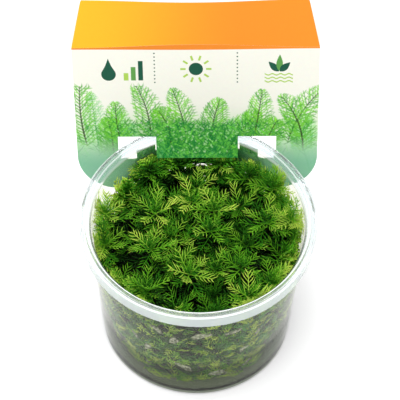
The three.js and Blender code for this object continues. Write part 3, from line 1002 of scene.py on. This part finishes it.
def card_points(u, v, depth):
    """Points on the leaning card plane; depth runs from its front to its back."""
    across = u * math.cos(CARD_TWIST) - v * math.sin(CARD_TWIST)
    up = u * math.sin(CARD_TWIST) + v * math.cos(CARD_TWIST)
    x = CARD_CENTRE[0] + across
    y = CARD_CENTRE[1] + up * math.sin(CARD_LEAN) + depth * math.cos(CARD_LEAN)
    z = CARD_CENTRE[2] + up * math.cos(CARD_LEAN) - depth * math.sin(CARD_LEAN)
    return np.stack([x, y, z], axis=1)


def bowed_card_points(u, v, depth):
    """As card_points, with the strap and its tongues bowed round the outside of the wall."""
    points = card_points(u, v, depth)
    x, y, z = points.T
    room = wall_outer_radius(z) + STRAP_CLEARANCE + depth + CARD_THICKNESS / 2
    behind_wall = np.sqrt(np.maximum(room ** 2 - x ** 2, 0.0))
    nearness = np.maximum(STRAP_BLEND - np.abs(y - behind_wall), 0.0) / STRAP_BLEND
    bowed = np.maximum(y, behind_wall) + nearness ** 2 * STRAP_BLEND / 4
    on_tab = (np.abs(u) <= TAB_HALF_WIDTH + 0.05) & (v >= TAB_BOTTOM - 0.05)
    points[:, 1] = np.where((v < TONGUE_TOP + 0.02) & ~on_tab, bowed, y)
    return points


def arc(centre_u, centre_v, radius_u, radius_v, start, end, count):
    angles = np.linspace(start, end, count)
    return np.stack([centre_u + radius_u * np.cos(angles), centre_v + radius_v * np.sin(angles)], axis=1)


def resampled(loop, spacing):
    """The closed loop with its long edges parted, so that it can bend."""
    loop = np.asarray(loop, float)
    points = []
    for here, beyond in zip(loop, np.roll(loop, -1, axis=0)):
        parts = max(1, math.ceil(np.linalg.norm(beyond - here) / spacing))
        points += [mix(here, beyond, i / parts) for i in range(parts)]
    return np.array(points)


def card_outline():
    foot_aside = CARD_HALF_WIDTH - FOOT_RADIUS
    foot = CARD_BOTTOM + FOOT_RADIUS
    crown_end = math.asin((CROWN_CORNER - CROWN_START) / CROWN_RISE)
    crown_aside = CARD_HALF_WIDTH * math.cos(crown_end)
    side_slope = CARD_HALF_WIDTH * math.tan(crown_end) / CROWN_RISE
    corner = np.array([crown_aside - (CARD_TOP - CROWN_CORNER) * side_slope, CARD_TOP])
    rounding_start = np.array([crown_aside, CROWN_CORNER])
    rounding_end = np.array([TOP_HALF_WIDTH, CARD_TOP])
    t = np.linspace(0.0, 1.0, 13)[1:, None]
    right = np.vstack([
        arc(foot_aside, foot, FOOT_RADIUS, FOOT_RADIUS, -math.pi / 2, 0.0, 21),
        arc(0.0, CROWN_START, CARD_HALF_WIDTH, CROWN_RISE, 0.0, crown_end, 31),
        (1 - t) ** 2 * rounding_start + 2 * t * (1 - t) * corner + t * t * rounding_end,
    ])
    left = right[::-1] * (-1.0, 1.0)
    return resampled(np.vstack([right, left]), EDGE_SPACING)


def rim_hole():
    """The one opening in the card: two rim windows, the slits round the tab and over the strap."""
    inner_slit = TAB_HALF_WIDTH + SLIT_WIDTH
    right = [
        (TAB_HALF_WIDTH, TAB_BOTTOM),
        (TAB_HALF_WIDTH, WINDOW_TOP),
        (WINDOW_OUTER, WINDOW_TOP),
        (WINDOW_OUTER, STRAP_TOP),
        (TONGUE_OUTER, STRAP_TOP),
        (TONGUE_OUTER, TONGUE_TOP),
        (inner_slit, TONGUE_TOP),
        (inner_slit, STRAP_TOP),
    ]
    left = [(-u, v) for u, v in reversed(right)]
    return resampled(right + left, EDGE_SPACING)


def inside_loop(loop, points):
    """True for each point inside a closed loop."""
    within = np.zeros(len(points), bool)
    u, v = points[:, 0], points[:, 1]
    for (u0, v0), (u1, v1) in zip(loop, np.roll(loop, -1, axis=0)):
        crosses = (v0 > v) != (v1 > v)
        if crosses.any():
            within ^= crosses & (u < (u1 - u0) * (v - v0) / ((v1 - v0) or 1e-12) + u0)
    return within


def far_from_loop(loop, points, distance):
    clear = np.ones(len(points), bool)
    for start, end in zip(loop, np.roll(loop, -1, axis=0)):
        edge = end - start
        near = np.clip(((points - start) @ edge) / max(edge @ edge, 1e-12), 0.0, 1.0)
        gap = points - (start + near[:, None] * edge)
        clear &= np.einsum("ij,ij->i", gap, gap) > distance ** 2
    return clear


def fill_points(spacing, low, high, outline, hole):
    """A staggered grid of points inside the card, between two levels."""
    rows = np.arange(low, high, spacing * 0.866)
    columns = np.arange(-CARD_HALF_WIDTH, CARD_HALF_WIDTH, spacing)
    shift = (np.arange(len(rows)) % 2)[:, None] * spacing / 2
    u = columns[None, :] + shift
    v = np.repeat(rows[:, None], len(columns), axis=1)
    points = np.stack([u, v], axis=2).reshape(-1, 2)
    points = points[inside_loop(outline, points) & ~inside_loop(hole, points)]
    keep_off = 0.6 * spacing
    return points[far_from_loop(outline, points, keep_off) & far_from_loop(hole, points, keep_off)]


def side_half_width(v):
    """Half the card's width at a level of its arched sides."""
    return CARD_HALF_WIDTH * math.sqrt(1 - ((v - CROWN_START) / CROWN_RISE) ** 2)


def header_shapes():
    """The header's orange field and the darker stripe under it, as loops with a colour for u."""
    def curve(level, swing):
        reach = side_half_width(level) - 0.05
        u = np.linspace(-reach, reach, 61)
        return np.stack([u, level + swing * np.cos(math.pi * u / CARD_HALF_WIDTH)], axis=1)

    yellow, orange, stripe = (srgb(code) for code in (HEADER_YELLOW, HEADER_ORANGE, HEADER_STRIPE))

    def field_colour(u):
        return mix(yellow, orange, smoothstep(-50.0, 22.0, u)[:, None])

    def stripe_colour(u):
        return mix(stripe, orange, 0.5 * smoothstep(-40.0, 40.0, u)[:, None])

    lower, upper = curve(HEADER_BOTTOM, 0.7), curve(HEADER_TOP, -0.7)
    under = curve(STRIPE_BOTTOM, -0.2)
    return [
        (np.vstack([lower, upper[::-1]]), field_colour),
        (np.vstack([under, lower[::-1] - (0.0, 0.02)]), stripe_colour),
    ]


def plain(code):
    return lambda u: np.tile(srgb(code), (len(u), 1))


def blade(foot, tip, half_width):
    """A leaf-shaped loop from foot to tip."""
    foot, tip = np.asarray(foot, float), np.asarray(tip, float)
    along = tip - foot
    aside = unit(np.array([-along[1], along[0]])) * half_width
    t = np.linspace(0.0, 1.0, 9)[:, None]
    width = np.sin(math.pi * t ** 0.8)
    left = foot + along * t + aside * width
    right = foot + along * t - aside * width
    return np.vstack([left, right[::-1][1:-1]])


def sign_shapes():
    """Three generic care signs between dotted dividers: water, light and growth."""
    dark, lime, mid = plain(SIGN_DARK), plain(SIGN_LIME), plain(SIGN_MID)
    shapes = []
    drop = arc(*DROP_CENTRE, 3.1, 3.1, math.radians(-205), math.radians(25), 25)
    drop_tip = np.array([(1.3, 4.0), (0.0, 7.6), (-1.3, 4.0)]) + DROP_CENTRE
    shapes.append((np.vstack([drop, drop_tip]), dark))
    for bar, colour in enumerate((lime, mid, dark)):
        left, foot = np.array(BARS_CORNER) + (bar * 3.1, 0.0)
        right, top = left + 2.0, foot + 3.6 + bar * 2.9
        shapes.append((np.array([(left, foot), (right, foot), (right, top), (left, top)]), colour))
    shapes.append((arc(*SUN_CENTRE, 3.0, 3.0, 0.0, 2 * math.pi, 33)[:-1], dark))
    for ray in range(10):
        angle = ray * math.pi / 5
        ahead, aside = heading(angle), 0.45 * heading(angle + math.pi / 2)
        foot, tip = (np.array(SUN_CENTRE) + ahead * reach for reach in (4.3, 6.6))
        shapes.append((np.array([foot - aside, tip - aside, tip + aside, foot + aside]), lime))
    level = np.linspace(29.0, 41.0, 25)
    for row in range(3):
        wave = WATER_LEVEL + row * 1.7 + 0.35 * np.sin(level * 1.8)
        upper = np.stack([level, wave + 0.3], axis=1)
        lower = np.stack([level, wave - 0.3], axis=1)
        shapes.append((np.vstack([lower, upper[::-1]]), lime))
    shapes.append((blade((35.0, 34.6), (30.6, 39.4), 1.5), dark))
    shapes.append((blade((35.2, 34.8), (35.4, 42.8), 1.4), mid))
    shapes.append((blade((35.4, 34.6), (39.8, 39.0), 1.5), dark))
    for side in (-1, 1):
        for dot in range(9):
            place = (side * DIVIDER_ASIDE, WATER_LEVEL - 0.2 + dot * 1.75)
            shapes.append((arc(*place, 0.34, 0.34, 0.0, 2 * math.pi, 11)[:-1], dark))
    return shapes


class PrintPainter:
    """Lays soft-edged strokes over the colours of many points of the print."""

    def __init__(self, points, colours):
        self.points = points
        self.colours = colours

    def stroke(self, start, end, start_width, end_width, colour, strength):
        reach = max(start_width, end_width) + STROKE_SOFTNESS
        low = np.minimum(start, end) - reach
        high = np.maximum(start, end) + reach
        near = np.flatnonzero(((self.points > low) & (self.points < high)).all(axis=1))
        if not len(near):
            return
        edge = end - start
        t = np.clip(((self.points[near] - start) @ edge) / (edge @ edge), 0.0, 1.0)
        gap = np.linalg.norm(self.points[near] - (start + t[:, None] * edge), axis=1)
        half = mix(start_width, end_width, t) / 2
        cover = strength * np.clip(0.5 + (half - gap) / STROKE_SOFTNESS, 0.0, 1.0)
        self.colours[near] = mix(self.colours[near], colour, cover[:, None])

    def curve(self, points, widths, colour, strength):
        for i in range(len(points) - 1):
            self.stroke(points[i], points[i + 1], widths[i], widths[i + 1], colour, strength)


def paint_frond(painter, rng, foot, lean, length, leaflet, colours, strength):
    """One fern-like frond: a curved midrib with feathered leaflets on both sides."""
    rib_colour, dark, light = colours
    steps = 26
    curl = rng.uniform(-0.9, 0.9) / steps
    turns = math.pi / 2 - lean + curl * np.arange(steps + 1)
    points = [np.asarray(foot, float)]
    for turn in turns[1:]:
        points.append(points[-1] + heading(turn) * length / steps)
    for i in range(4, steps + 1):
        share = i / steps
        reach = leaflet * math.sin(math.pi * min(1.0, 0.12 + 0.86 * share)) ** 0.7
        for hand in (-1, 1):
            splay = hand * (math.radians(64 - 26 * share) + rng.uniform(-0.15, 0.15))
            tip = points[i] + (heading(turns[i] + splay) + 0.15 * heading(turns[i])) * reach
            tone = mix(dark, light, rng.uniform(0.15, 1.0) * (0.45 + 0.55 * share))
            painter.stroke(points[i], tip, 0.5, 0.28, tone, strength)
            for k in range(1, 5):
                root = mix(points[i], tip, k / 5)
                twig = heading(turns[i] + splay + (0.75 if k % 2 else -0.75)) * reach * 0.3
                painter.stroke(root, root + twig, 0.4, 0.2, tone * 1.08, strength)
    widths = np.minimum(np.linspace(0.2, 4.0, steps - 3), np.linspace(0.9, 0.25, steps - 3))
    painter.curve(points[4:], widths, rib_colour, strength)


def paint_plant_print(points):
    """The plant picture: generic feathery fronds over a pale to teal-green wash."""
    rng = np.random.default_rng(PRINT_SEED)
    u, v = points.T
    cream, pale, teal, deep = (srgb(code) for code in (CARD_CREAM, PRINT_PALE, PRINT_TEAL, PRINT_DEEP))
    colours = mix(cream, pale, smoothstep(20.0, 2.0, v)[:, None])
    colours = mix(colours, teal, smoothstep(6.0, -12.0, v)[:, None] * 0.9)
    middle = smoothstep(30.0, 14.0, np.abs(u)) * smoothstep(12.0, -2.0, v)
    colours = mix(colours, deep, middle[:, None] * 0.95)
    wash = colours.copy()
    painter = PrintPainter(points, colours)
    tones, needle_tones = ([srgb(code) for code in codes] for codes in (FROND_TONES, NEEDLE_TONES))
    back_tones = [tones[1] * 1.6] + [srgb(code) for code in BACK_FROND_TONES]
    for i in range(BACK_FRONDS):
        foot = (-50 + i * 7.2 + rng.uniform(-2, 2), rng.uniform(-22, -8))
        lean, height = rng.uniform(-0.5, 0.5), rng.uniform(22, 36)
        paint_frond(painter, rng, foot, lean, height, 6.5, back_tones, 0.6)
    for i in range(FRONT_FRONDS):
        foot = (-46 + i * 8.4 + rng.uniform(-2, 2), rng.uniform(-14, -6))
        height = 31 + 8 * math.cos(i * 2.4) + rng.uniform(-3, 3)
        paint_frond(painter, rng, foot, rng.uniform(-0.35, 0.35), height, 8.0, tones, 0.95)
    for _ in range(NEEDLES):
        start = np.array([rng.normal(0, 17), rng.uniform(-9.5, 9)])
        end = start + rng.uniform(1.5, 4.5) * heading(math.pi / 2 + rng.uniform(-1.3, 1.3))
        tone = mix(*needle_tones, rng.uniform(0, 1) ** 2.8)
        painter.stroke(start, end, 0.46, 0.2, tone, 0.85)
    for _ in range(FLECKS):
        start = np.array([rng.normal(0, 15), rng.uniform(-6, 8)])
        end = start + rng.uniform(0.3, 0.9) * heading(math.pi / 2 + rng.uniform(-1.5, 1.5))
        painter.stroke(start, end, 0.45, 0.25, srgb(FLECK_TONE), 0.7)
    wing_foot = smoothstep(24.0, 32.0, np.abs(u)) * smoothstep(3.0, -8.0, v)
    return np.clip(mix(painter.colours, wash, 0.85 * wing_foot[:, None]), 0.0, 1.0)


def triangulated(loops, extra):
    """Triangles over constrained loops and loose points, and the loops' places in them."""
    points = [Vector(p) for loop in loops for p in loop] + [Vector(p) for p in extra]
    edges = []
    start = 0
    for loop in loops:
        edges += [(start + i, start + (i + 1) % len(loop)) for i in range(len(loop))]
        start += len(loop)
    found, _, faces, origins, _, _ = delaunay_2d_cdt(points, edges, [], 0, 1e-5)
    place = {origin: i for i, group in enumerate(origins) for origin in group}
    return np.array([tuple(p) for p in found]), np.array(faces), place


def within_card(points, faces, outline, hole):
    middle = points[faces].mean(axis=1)
    return faces[inside_loop(outline, middle) & ~inside_loop(hole, middle)]


def make_card(material):
    outline, hole = card_outline(), rim_hole()
    shapes = header_shapes() + sign_shapes()
    fine = fill_points(PRINT_SPACING, CARD_BOTTOM, PRINT_TOP, outline, hole)
    coarse = fill_points(PLAIN_SPACING, PRINT_TOP, CARD_TOP, outline, hole)
    loops = [outline, hole] + [loop for loop, _ in shapes]
    front, front_faces, front_place = triangulated(loops, np.vstack([fine, coarse]))
    front_faces = within_card(front, front_faces, outline, hole)
    sparse = fill_points(PLAIN_SPACING, CARD_BOTTOM, CARD_TOP, outline, hole)
    back, back_faces, back_place = triangulated([outline, hole], sparse)
    back_faces = within_card(back, back_faces, outline, hole)
    count = len(front)
    rim = []
    start = 0
    for loop in (outline, hole):
        for i in range(len(loop)):
            a, b = start + i, start + (i + 1) % len(loop)
            near, far = front_place[a], front_place[b]
            rim.append((near, back_place[a] + count, back_place[b] + count))
            rim.append((near, back_place[b] + count, far))
        start += len(loop)
    half = CARD_THICKNESS / 2
    front_points = bowed_card_points(*front.T, -half)
    back_points = bowed_card_points(*back.T, half)
    vertices = np.vstack([front_points, back_points])
    triangles = np.vstack([front_faces, back_faces[:, ::-1] + count, np.array(rim)])
    card = build_object("label_card_sheet", vertices, triangles, material)
    card.data.set_sharp_from_angle(angle=math.radians(40))
    paint_card(card, front, front_faces, shapes)
    dress(card, "card", "label_card")


def paint_card(card, front, faces, shapes):
    """Corner colours of the front face; the back and the cut edges stay white."""
    colours = np.tile(srgb(CARD_WHITE), (len(front), 1))
    colours[front[:, 1] < HEADER_BOTTOM] = srgb(CARD_CREAM)
    printed = front[:, 1] < PRINT_TOP
    colours[printed] = paint_plant_print(front[printed])
    corners = colours[faces]
    middle = front[faces].mean(axis=1)
    for loop, colour_of in shapes:
        covered = np.flatnonzero(inside_loop(loop, middle))
        corner_u = front[faces[covered], 0].ravel()
        corners[covered] = colour_of(corner_u).reshape(-1, 3, 3)
    values = np.ones((len(card.data.loops), 4), np.float32)
    values[:, :3] = srgb(CARD_WHITE)
    values[:corners.size // 3, :3] = corners.reshape(-1, 3)
    layer = card.data.color_attributes.new("print", "FLOAT_COLOR", "CORNER")
    layer.data.foreach_set("color", values.ravel())


add_camera()
add_stage()
make_cup()
make_gel(gel_material())
make_gel_lumps()
make_card(card_material())
make_shoots(leaf_material())
